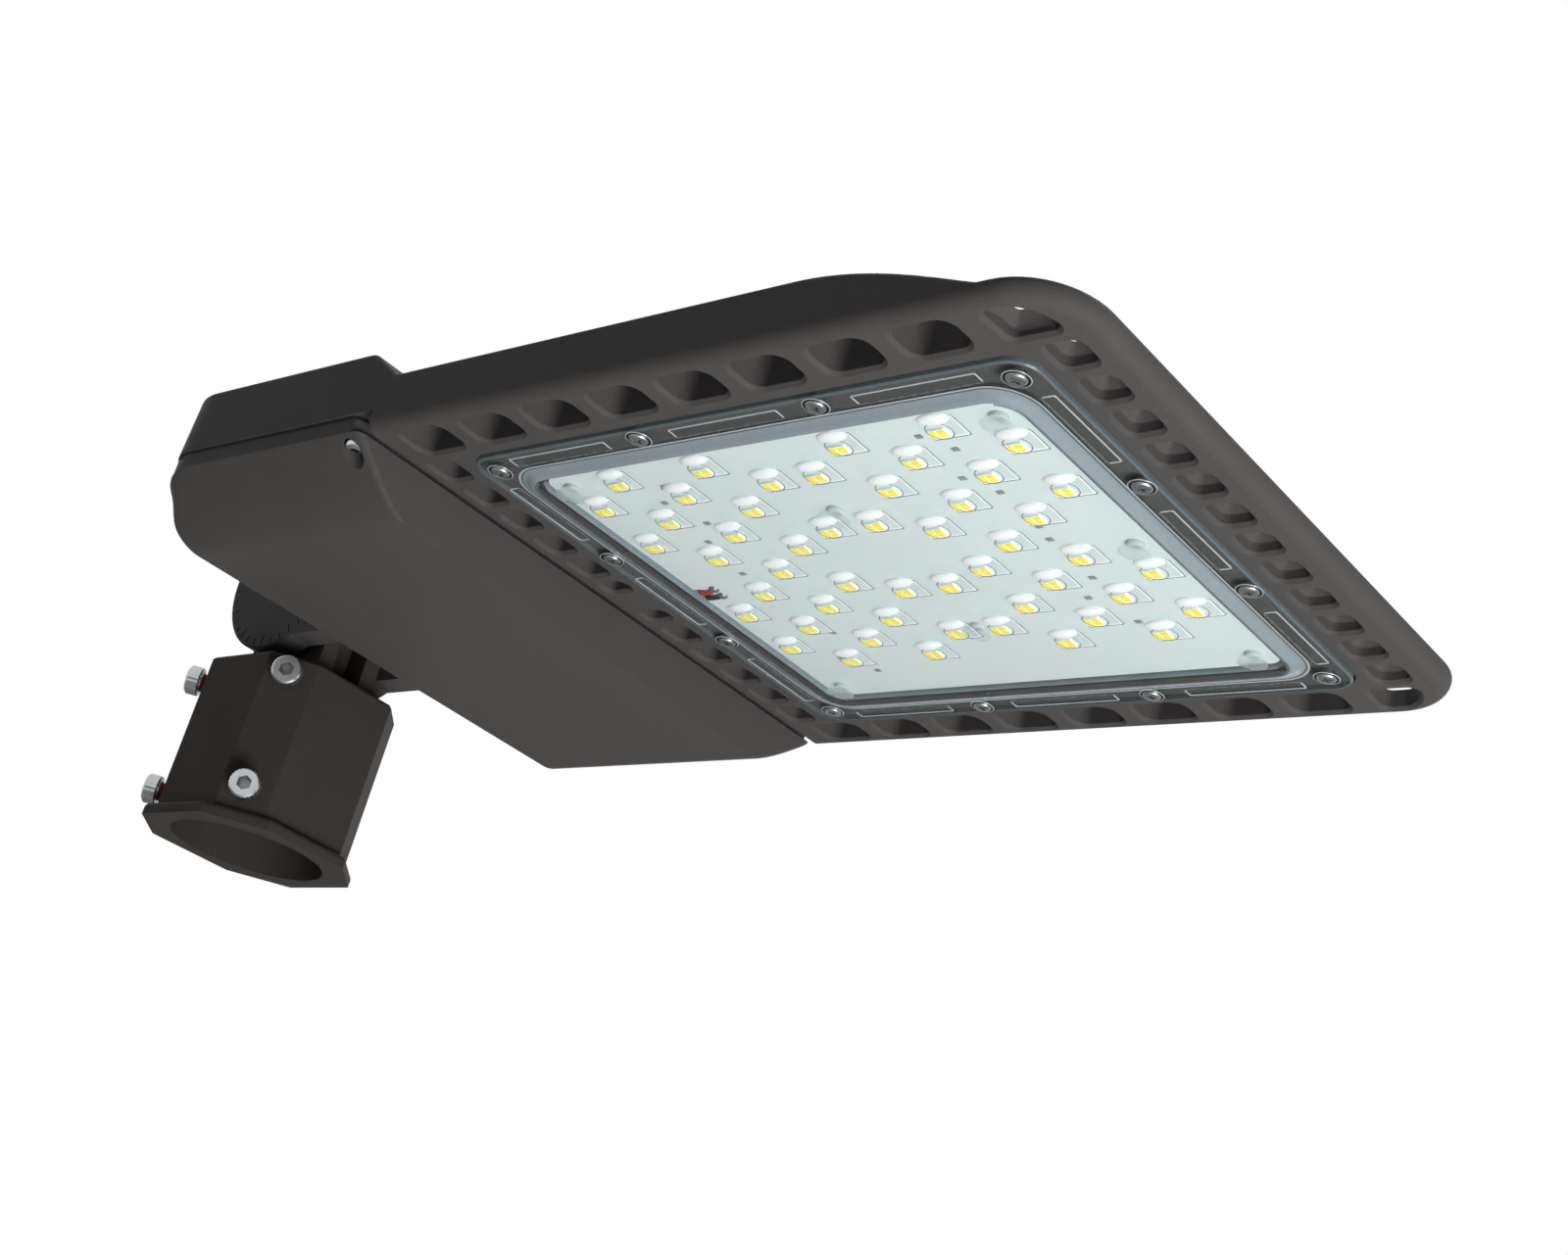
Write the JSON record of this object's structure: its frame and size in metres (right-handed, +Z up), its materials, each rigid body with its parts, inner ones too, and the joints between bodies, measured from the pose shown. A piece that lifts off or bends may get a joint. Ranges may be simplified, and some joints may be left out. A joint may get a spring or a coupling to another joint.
{
  "type": "parking lot light",
  "caption": "Flat dark bronze LED area light: vented rim, clear lens plate, fins above, rounded driver box, and a tilting knuckle on a square slip fitter with clamp bolts.",
  "frame": {"origin": "on the axis of the slip fitter's bore, in the plane of its mouth", "axes": "+X the way the head points, +Z up along the bore, away from the pole; the LEDs face -Z"},
  "size_m": [0.4856, 0.2496, 0.145],
  "materials": {
    "bronze_coat": "dark bronze powder coat, fine satin texture",
    "clear_polycarbonate": "clear moulded plastic, polished",
    "board_white": "white solder mask, satin",
    "led_phosphor": "yellow phosphor in white packages",
    "thermal_pad": "soft grey pad",
    "silicone": "black silicone, matt",
    "stainless": "bright stainless",
    "coated_steel": "dark coated steel, satin",
    "driver_case": "drawn aluminium, satin",
    "black_plastic": "moulded, matt",
    "cream_plastic": "moulded, matt",
    "red_wire": "insulation, satin",
    "black_wire": "insulation, satin",
    "white_wire": "insulation, satin",
    "fibre": "pressed fibre, matt"
  },
  "bodies": {
    "arm": {"slip_fitter": "bronze_coat"},
    "head": {"heat_sink_housing": "bronze_coat", "driver_box": "bronze_coat", "lens_plate": "clear_polycarbonate", "led_board": "board_white", "led_packages": "led_phosphor", "thermal_pad": "thermal_pad", "lens_gasket": "silicone", "box_gasket": "silicone", "lead_grommet": "silicone", "inlet_grommet": "silicone", "lens_screws": "stainless", "board_screws": "stainless", "box_screws": "stainless", "driver_screws": "stainless", "surge_screws": "stainless", "terminal_screws": "stainless", "led_driver": "driver_case", "surge_protector": "black_plastic", "terminal_block": "cream_plastic", "led_lead_red": "red_wire", "led_lead_black": "black_wire", "input_leads": "black_wire", "surge_leads": "white_wire", "pivot_bolt": "stainless", "pivot_nut": "stainless", "pivot_washers": "stainless", "friction_washers": "fibre"},
    "clamp_front_upper": {"clamp_bolt_front_upper": "stainless"},
    "clamp_front_lower": {"clamp_bolt_front_lower": "stainless"},
    "clamp_rear_upper": {"clamp_bolt_rear_upper": "stainless"},
    "clamp_rear_lower": {"clamp_bolt_rear_lower": "stainless"}
  },
  "joints": [
    {"name": "head_tilt", "type": "hinge", "parent": "arm", "child": "head", "pos_m": [0, 0, 0.111], "axis": [0, -1, 0], "range_deg": [0, 90]},
    {"name": "clamp_front_upper_drive", "type": "slide", "parent": "arm", "child": "clamp_front_upper", "axis": [-0.7071, 0.7071, 0], "range_m": [-0.004, 0.0033]},
    {"name": "clamp_front_lower_drive", "type": "slide", "parent": "arm", "child": "clamp_front_lower", "axis": [-0.7071, 0.7071, 0], "range_m": [-0.004, 0.0033]},
    {"name": "clamp_rear_upper_drive", "type": "slide", "parent": "arm", "child": "clamp_rear_upper", "axis": [0.7071, 0.7071, 0], "range_m": [-0.004, 0.0033]},
    {"name": "clamp_rear_lower_drive", "type": "slide", "parent": "arm", "child": "clamp_rear_lower", "axis": [0.7071, 0.7071, 0], "range_m": [-0.004, 0.0033]}
  ]
}
